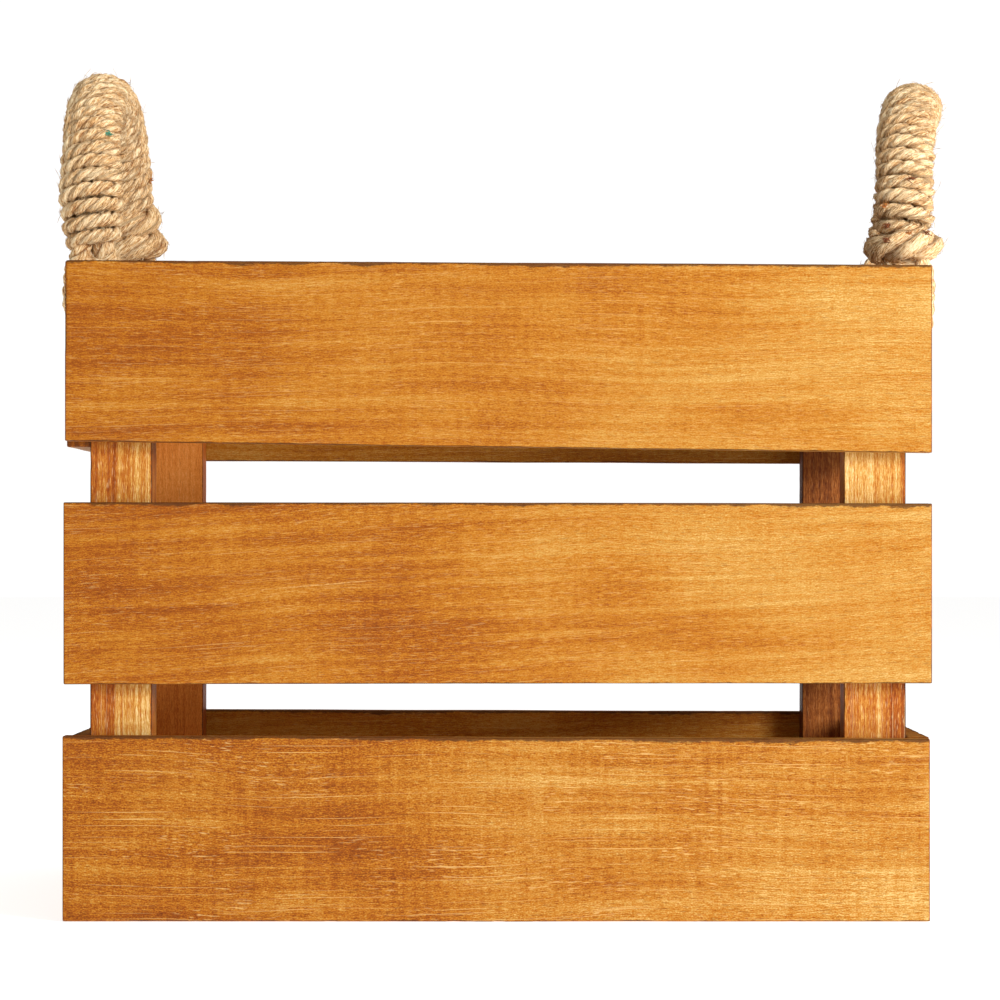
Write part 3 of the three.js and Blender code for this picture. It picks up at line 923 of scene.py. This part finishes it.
def coil(arch, start, end, turns, offsets, phase, hand, seed, step=1.3, tuck=0.0, narrow=0.0,
         tilt=0.0, widths=((0, 1), (1, 1))):
    """A line wound round the arch between two distances along it.

    widths gives how wide the coil is at some shares of its length, tuck how far its ends are drawn
    in, narrow how much slimmer its first turns are, and tilt how far it leans along the arch.
    """
    count = int(turns * 2 * math.pi * np.mean(offsets) / step)
    t = np.linspace(0, 1, count)
    wobble = 0.45 * smooth_noise(t * turns / 1.7, seed, 2)
    angle = phase + hand * 2 * math.pi * turns * t
    along = start + (end - start) * t + wobble + tilt * np.cos(angle)
    centre, side, up, _ = arch.at(along)
    swell = np.interp(t, *zip(*widths)) + 0.035 * smooth_noise(t * turns * 1.3, seed + 1, 2)
    from_end = np.minimum(t, 1 - t) * turns
    swell = swell - tuck * (1 - from_end / 0.25).clip(0, 1)
    swell = swell - narrow * (1 - t * turns / 1.6).clip(0, 1)
    swell = swell + narrow * 0.75 * np.exp(-((t * turns - 3.4) / 2.2) ** 2)
    across = np.cos(angle)[:, None] * side * offsets[0] + np.sin(angle)[:, None] * up * offsets[1]
    return Line(centre + across * swell[:, None])


def add_wrapping(name, handle, material):
    arch = arch_line(handle)
    hand = -handle["side"]
    first, last = handle["wrap"]
    turns = (arch.length - first - last) / WRAP_PITCH
    mesh = RopeMesh()
    seed = 500 + handle["side"] * 50
    wound = coil(arch, first, arch.length - last, turns, WRAP_OFFSET, 0.4, hand, seed,
                 tuck=0.3, narrow=0.2 if handle["side"] < 0 else 0)
    mesh.lay(wound, WRAP_ROPE, WRAP_LAY, seed=seed)
    add_base_turns(mesh, arch, handle, seed)
    piece = mesh.build(f"wrapping_{name}", material)
    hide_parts(f"handle_wrap_{name}")
    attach(piece, f"{name}_handle")
    return mesh


def add_base_turns(mesh, arch, handle, seed):
    """Heavy turns at the left handle's rear foot; one at the right one's front, a thin one behind."""
    end = arch.length
    if handle["side"] < 0:
        wound = coil(arch, end - 37.5, end - 8.0, 2.75, TURN_OFFSET, 1.1, 1, seed + 7, tuck=0.3,
                     widths=LEFT_TURN_WIDTHS)
        mesh.lay(wound, TURN_ROPE, TURN_LAY, sides=16, seed=seed + 9)
    else:
        wound = coil(arch, 4.6, 7.0, 1.2, TURN_OFFSET, 2.3, -1, seed + 7, tuck=0.35, tilt=1.9,
                     widths=((0, 1.04), (1, 1.04)))
        mesh.lay(wound, TURN_ROPE, TURN_LAY, sides=16, seed=seed + 9)
        wound = coil(arch, end - 3.9, end - 2.9, 1.15, REAR_TURN_OFFSET, 1.9, -1, seed + 11,
                     tuck=0.35)
        mesh.lay(wound, REAR_TURN_ROPE, REAR_TURN_LAY, sides=14, seed=seed + 13)


def add_core(name, handle, material):
    arch = arch_line(handle)
    mesh = RopeMesh()
    for sign in (-1, 1):
        along = np.linspace(0.6, arch.length - 0.6, 260)
        centre, side, _, _ = arch.at(along)
        line = Line(centre + sign * CORE_ROPE / 2 * side, across=(1, 0, 0))
        mesh.lay(line, CORE_ROPE, CORE_LAY, sides=7, seed=600 + sign)
    piece = mesh.build(f"core_{name}", material)
    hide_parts(f"handle_core_{name}")
    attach(piece, f"{name}_handle")


def add_eye(name, place, handle, material):
    """The rope end that goes down inside the slat, through its hole and up the outside."""
    side = handle["side"]
    y = -HALF_SPAN if place == "front" else HALF_SPAN
    drop = -handle["hole_drop"]
    rise = 1.0 if place == "front" else -1.0
    knots = [
        (-3.6, 0.5 * rise, 15.0), (-5.2, 2.6 * rise, 10.0), (-7.6, 2.2 * rise, 4.6),
        (-9.2, 0.8 * rise, -0.5), (-9.3, 0, -6.0), (-9.0, 0, drop + 4.2), (-6.9, 0, drop + 0.9),
        (-3.4, 0, drop), (3.4, 0, drop), (6.9, 0, drop + 0.9), (9.0, 0, drop + 4.2),
        (9.3, 0, -6.0), (9.1, -0.8 * rise, -0.5), (7.4, -2.2 * rise, 4.6),
        (4.8, -2.6 * rise, 10.0), (3.4, -0.5 * rise, 15.0),
    ]
    lean = handle["lean"][0 if place == "front" else -1] / 15.0
    places = [(side * (SLAT_MIDDLE + x + lean * max(z, 0)), y + dy, RIM + z)
              for x, dy, z in knots]
    mesh = RopeMesh()
    line = Line(spline(places, 0.8))
    seed = 700 + int(side * 10 + rise)
    mesh.lay(line, EYE_ROPE, EYE_LAY, sides=12, seed=seed, phase=0.7)
    # A short strand across the slat's edge closes the view between the two runs.
    bridge = [(-7.2, 1.6 * rise, 8.0), (-5.0, 0.6 * rise, 4.6), (-1.5, 0, 3.9),
              (2.0, 0, 4.1), (5.2, -0.8 * rise, 5.4), (7.0, -1.8 * rise, 9.0)]
    places = [(side * (SLAT_MIDDLE + x), y + dy, RIM + z) for x, dy, z in bridge]
    mesh.lay(Line(spline(places, 0.8)), EYE_ROPE, EYE_LAY, sides=12, seed=seed + 3, phase=0.2)
    piece = mesh.build(f"eye_{name}_{place}", material)
    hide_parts(f"rope_eye_{name}_{place}")
    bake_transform(piece)


FIBRE_CLEAR = 8.0  # fibres grow only this far above the rim, so that they clear the slat
LYING_FIBRES = 8200
LOOSE_FIBRES = 620


def add_fibres(name, wrapping, handle, material):
    """Loose fibres: many lie on the wrapping's strands, and fewer stand out of it."""
    random = np.random.RandomState(900 + handle["side"])
    vertices = np.concatenate(wrapping.vertices)
    groove_shade = np.concatenate(wrapping.groove_shade)
    heading = np.concatenate(wrapping.heading)
    arch = arch_line(handle)
    mesh = RopeMesh()
    clear = vertices[:, 2] > RIM + FIBRE_CLEAR
    flat = random.choice(np.flatnonzero(clear & (groove_shade < 0.75)), LYING_FIBRES, replace=False)
    loose = random.choice(np.flatnonzero(clear & (groove_shade < 0.3)), LOOSE_FIBRES, replace=False)
    for number, index in enumerate([*flat, *loose]):
        lying = number < LYING_FIBRES
        root = vertices[index]
        nearest = arch.points[np.argmin(((arch.points - root) ** 2).sum(1))]
        out = (root - nearest) / np.linalg.norm(root - nearest)
        drift = random.normal(size=3) * (0.45 if lying else 1.0) + heading[index] * lying
        drift -= out * drift.dot(out)
        drift /= np.linalg.norm(drift)
        if lying:
            length, rise = random.uniform(1.8, 5.0), random.uniform(0.05, 0.35)
        else:
            length = random.gamma(2.0, 1.3) + 1.0
            rise = random.uniform(0.15, 0.7) * min(length, 4.5)
        curl = random.normal(size=3) * 0.3 * length
        t = np.linspace(0, 1, 4 if lying else 5)[:, None]
        hair = root + drift * length * (t - 0.3 * lying) + curl * (t - 0.3 * lying) ** 2 * 0.5
        hair = hair + out * (rise * np.sin(t * math.pi * 0.75) if lying else rise * t ** 0.8)
        hair[0] -= out * 0.3
        thick = random.uniform(0.06, 0.125)
        mesh.sweep(Line(hair), thick, 3, index % 97, None)
    piece = mesh.build(f"fibres_{name}", material)
    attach(piece, f"{name}_handle")


# Where stray coloured fibres show on the wrapping, in millimetres.
FLECKS = {
    "left": [((-159.5, -60, 316.5), "green"), ((-151.0, 50, 307.0), "rust")],
    "right": [((153.5, -71, 286.5), "rust"), ((169, -72, 301.5), "brown"),
              ((166.5, -74, 275.5), "rust"), ((174, -72, 273.5), "brown"),
              ((156.5, -72, 277.0), "brown"), ((157.5, -74, 271.5), "brown")],
}


def add_fleck(name, handle, wrapping, target, material):
    """A few stray coloured fibres caught in the wrapping, on the side seen from the front."""
    random = np.random.RandomState(int(abs(target[2]) * 10))
    vertices = np.concatenate(wrapping.vertices)
    root = vertices[np.argmin(((vertices - np.array(target)) ** 2).sum(1))]
    mesh = RopeMesh()
    for i in range(16):
        start = root + random.normal(size=3) * (0.7, 0.2, 0.5)
        ahead = random.normal(size=3) * (1.0, 0.25, 0.6)
        t = np.linspace(-0.5, 0.5, 6)[:, None]
        hair = start + ahead * t * 1.6 + random.normal(size=3) * t ** 2
        hair[:, 1] -= 0.25
        mesh.sweep(Line(hair), 0.17, 4, i, None)
    piece = mesh.build(name, material)
    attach(piece, "left_handle" if handle["side"] < 0 else "right_handle")


def add_handles():
    rope, wrap, fibre = (jute(f"jute_{kind}", JUTE_DARK, JUTE_MIDDLE, JUTE_LIGHT)
                         for kind in ("rope", "wrapping", "fibre"))
    flecks = {
        "green": jute("green_fleck", (0.02, 0.09, 0.06), (0.06, 0.30, 0.20), (0.16, 0.5, 0.33)),
        "rust": jute("rust_fleck", (0.16, 0.04, 0.01), (0.50, 0.15, 0.03), (0.7, 0.3, 0.08)),
        "brown": jute("brown_fleck", (0.05, 0.012, 0.005), (0.20, 0.05, 0.02), (0.4, 0.14, 0.05)),
    }
    for name, handle in HANDLES.items():
        wrapping = add_wrapping(name, handle, wrap)
        add_core(name, handle, rope)
        for place in ("front", "rear"):
            add_eye(name, place, handle, rope)
        add_fibres(name, wrapping, handle, fibre)
        for i, (target, stain) in enumerate(FLECKS[name]):
            add_fleck(f"fleck_{name}_{i}", handle, wrapping, target, flecks[stain])


def add_staples():
    wire = galvanised_wire()
    for node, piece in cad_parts.items():
        if node.startswith("staple_"):
            piece.data.materials.clear()
            piece.data.materials.append(wire)


# ---- Colours -------------------------------------------------------------------------------

SLAT_LOOK = {
    "deep": (0.12, 0.026, 0.003), "dark": (0.255, 0.061, 0.003), "middle": (0.405, 0.144, 0.008),
    "light": (0.47, 0.25, 0.052), "pale": (0.68, 0.45, 0.17), "edge": (0.07, 0.022, 0.005),
    "sway": 12.0, "bands": (0.008, 0.30, 0.30), "gloss": 0.5, "bright": 0.26, "pores": 0.3,
    "dash": (0.22, 2.7, 2.7), "clusters": 0.38,
    "amount": {"fine": 0.66, "bands": 0.48, "speck": 0.55, "cloud": 0.45, "chatter": 0.1},
}
COARSE_LOOK = dict(
    SLAT_LOOK, bright=0.6, pores=0.4, sway=16.0, dash=(0.2, 1.9, 1.9), clusters=0.55,
    amount={"fine": 0.9, "bands": 0.55, "speck": 0.8, "cloud": 0.5, "chatter": 0.2},
)
SCRATCHED_LOOK = dict(SLAT_LOOK, line=(4 * GRAIN_SHIFT - 97.0, 4 * GRAIN_SHIFT - 44.0, 5.85, 0.0345))
POST_LOOK = dict(
    SLAT_LOOK, deep=(0.17, 0.032, 0.004), dark=(0.34, 0.08, 0.007), middle=(0.46, 0.17, 0.020),
    light=(0.59, 0.33, 0.08), pale=(0.79, 0.60, 0.30), sway=3.0, bands=(0.006, 0.55, 0.55),
    bright=0.4,
    amount={"fine": 1.1, "bands": 1.3, "speck": 0.3, "cloud": 0.4, "chatter": 0.12},
)
RED_POST_LOOK = dict(
    POST_LOOK, dark=(0.36, 0.078, 0.008), middle=(0.55, 0.155, 0.018), light=(0.70, 0.24, 0.04),
    pale=(0.80, 0.36, 0.10), bright=0.12,
    amount={"fine": 0.6, "bands": 0.5, "speck": 0.4, "cloud": 0.35, "chatter": 0.1},
)
# The back right post's look is a darker copy of the post's: painted shade for the crate's shaded
# right back corner.
SHADED_POST_LOOK = dict(
    POST_LOOK, deep=(0.10, 0.022, 0.004), dark=(0.22, 0.058, 0.009), middle=(0.36, 0.115, 0.020),
    light=(0.5, 0.20, 0.05), pale=(0.62, 0.3, 0.10), bright=0.25,
    amount={"fine": 1.1, "bands": 0.8, "speck": 0.3, "cloud": 0.3, "chatter": 0.1},
)
FLOOR_LOOK = dict(SLAT_LOOK, bright=0.15)
JUTE_DARK = (0.22, 0.08, 0.024)
JUTE_RED = (0.50, 0.19, 0.055)
JUTE_MIDDLE = (0.72, 0.42, 0.17)
JUTE_LIGHT = (0.98, 0.80, 0.51)

add_camera()
add_studio()
add_floor()
add_boards()
add_staples()
add_handles()
